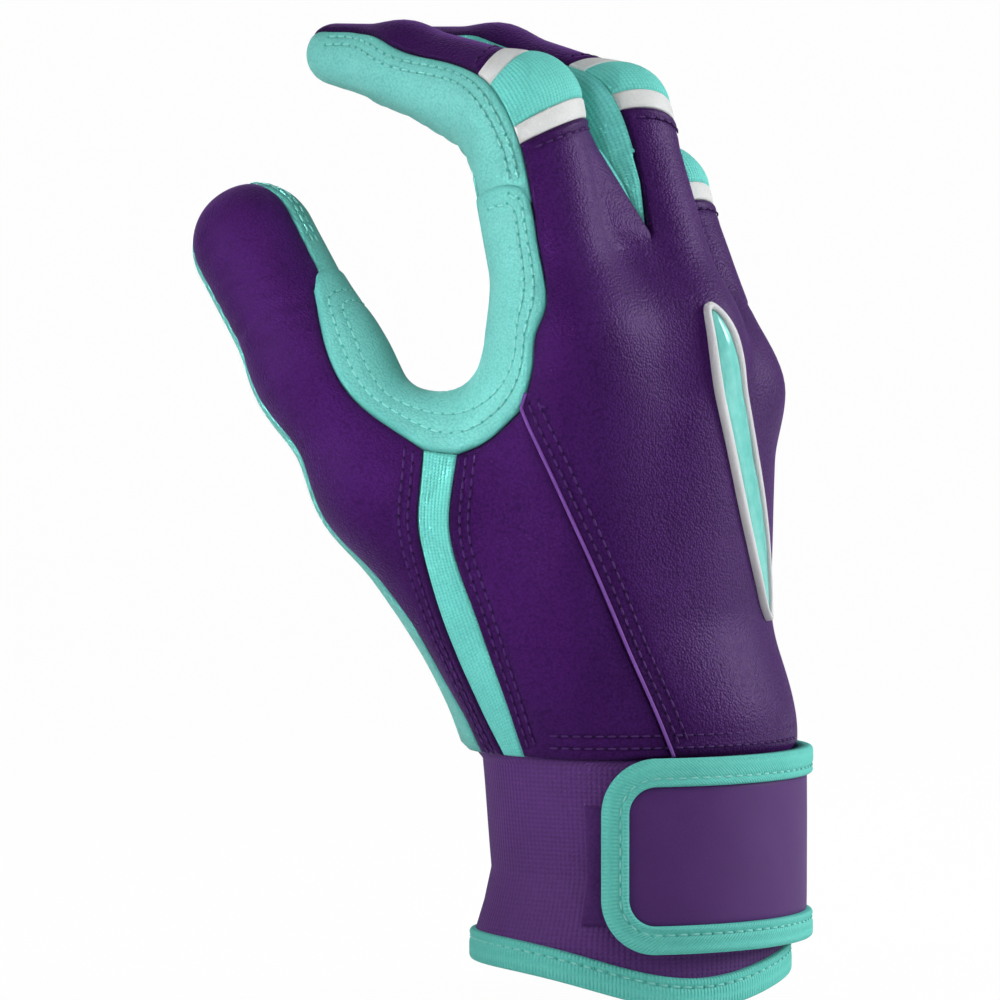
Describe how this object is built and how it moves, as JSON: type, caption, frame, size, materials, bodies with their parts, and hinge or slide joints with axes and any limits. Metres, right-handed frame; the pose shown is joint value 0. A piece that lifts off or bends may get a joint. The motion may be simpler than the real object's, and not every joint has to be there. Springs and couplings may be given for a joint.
{
  "type": "batting glove",
  "caption": "Right-hand batting glove in leather with knit finger gussets, bending finger bands, thumb crotch patch and a hook-and-loop wrist strap.",
  "frame": {"origin": "centre of the wrist opening at the cuff's hem", "axes": "+Z from the wrist to the fingertips, +X out of the back of the hand, +Y to the little-finger side"},
  "size_m": [0.104, 0.1102, 0.1953],
  "materials": {
    "leather_purple": "satin",
    "leather_mint": "satin",
    "knit_mint": "matte",
    "cuff_knit": "matte",
    "binding_mint": "matte",
    "trim_grey": "satin",
    "badge_rim": "satin",
    "badge_plate": "gloss",
    "strap_face": "satin",
    "hook_tape": "matte",
    "loop_tape": "matte"
  },
  "bodies": {
    "hand": {"back_panel": "leather_purple", "palm_panel": "leather_mint", "side_panel": "leather_purple", "thumb_strip": "knit_mint", "crotch_patch": "leather_mint", "thumb_back": "leather_purple", "thumb_front": "leather_mint", "gusset_index_middle": "knit_mint", "gusset_middle_ring": "knit_mint", "gusset_ring_little": "knit_mint", "badge_rim": "badge_rim", "badge_plate": "badge_plate", "cuff_sleeve": "cuff_knit", "cuff_hem_binding": "binding_mint", "strap_anchor": "cuff_knit", "loop_patch": "loop_tape", "thumb_bend_back": "leather_purple", "thumb_bend_front": "leather_mint", "index_trim_lower": "trim_grey", "index_flex_panel": "knit_mint", "index_bend_front": "leather_mint", "middle_trim_lower": "trim_grey", "middle_flex_panel": "knit_mint", "middle_bend_front": "leather_mint", "ring_trim_lower": "trim_grey", "ring_flex_panel": "knit_mint", "ring_bend_front": "leather_mint", "little_trim_lower": "trim_grey", "little_flex_panel": "knit_mint", "little_bend_front": "leather_mint"},
    "index_tip": {"index_trim_upper": "trim_grey", "index_tip_back": "leather_purple", "index_tip_front": "leather_mint", "index_gusset_ulnar": "knit_mint"},
    "middle_tip": {"middle_trim_upper": "trim_grey", "middle_tip_back": "leather_purple", "middle_tip_front": "leather_mint", "middle_gusset_ulnar": "knit_mint", "middle_gusset_radial": "knit_mint"},
    "ring_tip": {"ring_trim_upper": "trim_grey", "ring_tip_back": "leather_purple", "ring_tip_front": "leather_mint", "ring_gusset_ulnar": "knit_mint", "ring_gusset_radial": "knit_mint"},
    "little_tip": {"little_trim_upper": "trim_grey", "little_tip_back": "leather_purple", "little_tip_front": "leather_mint", "little_gusset_radial": "knit_mint"},
    "thumb_tip": {"thumb_tip_back": "leather_purple", "thumb_tip_front": "leather_mint"},
    "strap": {"strap_panel": "strap_face", "strap_binding": "binding_mint", "hook_patch": "hook_tape"}
  },
  "joints": [
    {"name": "index_bend", "type": "hinge", "parent": "hand", "child": "index_tip", "pos_m": [-0.0095, -0.0283, 0.16751], "axis": [0, -1, 0], "range_deg": [-45, 28], "stiffness_Nm_per_rad": 0.05, "deforming": ["index_flex_panel", "index_bend_front"]},
    {"name": "middle_bend", "type": "hinge", "parent": "hand", "child": "middle_tip", "pos_m": [-0.0056, -0.00335, 0.16662], "axis": [0, -1, 0], "range_deg": [-40, 32], "stiffness_Nm_per_rad": 0.05, "deforming": ["middle_flex_panel", "middle_bend_front"]},
    {"name": "ring_bend", "type": "hinge", "parent": "hand", "child": "ring_tip", "pos_m": [-0.01061, 0.01686, 0.15066], "axis": [0, -1, 0], "range_deg": [-45, 28], "stiffness_Nm_per_rad": 0.05, "deforming": ["ring_flex_panel", "ring_bend_front"]},
    {"name": "little_bend", "type": "hinge", "parent": "hand", "child": "little_tip", "pos_m": [-0.01758, 0.03656, 0.13348], "axis": [0, -1, 0], "range_deg": [-48, 25], "stiffness_Nm_per_rad": 0.05, "deforming": ["little_flex_panel", "little_bend_front"]},
    {"name": "thumb_bend", "type": "hinge", "parent": "hand", "child": "thumb_tip", "pos_m": [-0.05392, -0.0493, 0.13227], "axis": [-0.8312, 0, -0.556], "range_deg": [-10, 40], "stiffness_Nm_per_rad": 0.05, "deforming": ["thumb_bend_back", "thumb_bend_front"]},
    {"name": "strap_open", "type": "hinge", "parent": "hand", "child": "strap", "pos_m": [-0.00695, 0.0361, 0.0226], "axis": [0, 0, 1], "range_deg": [0, 100], "stiffness_Nm_per_rad": 0.02}
  ]
}
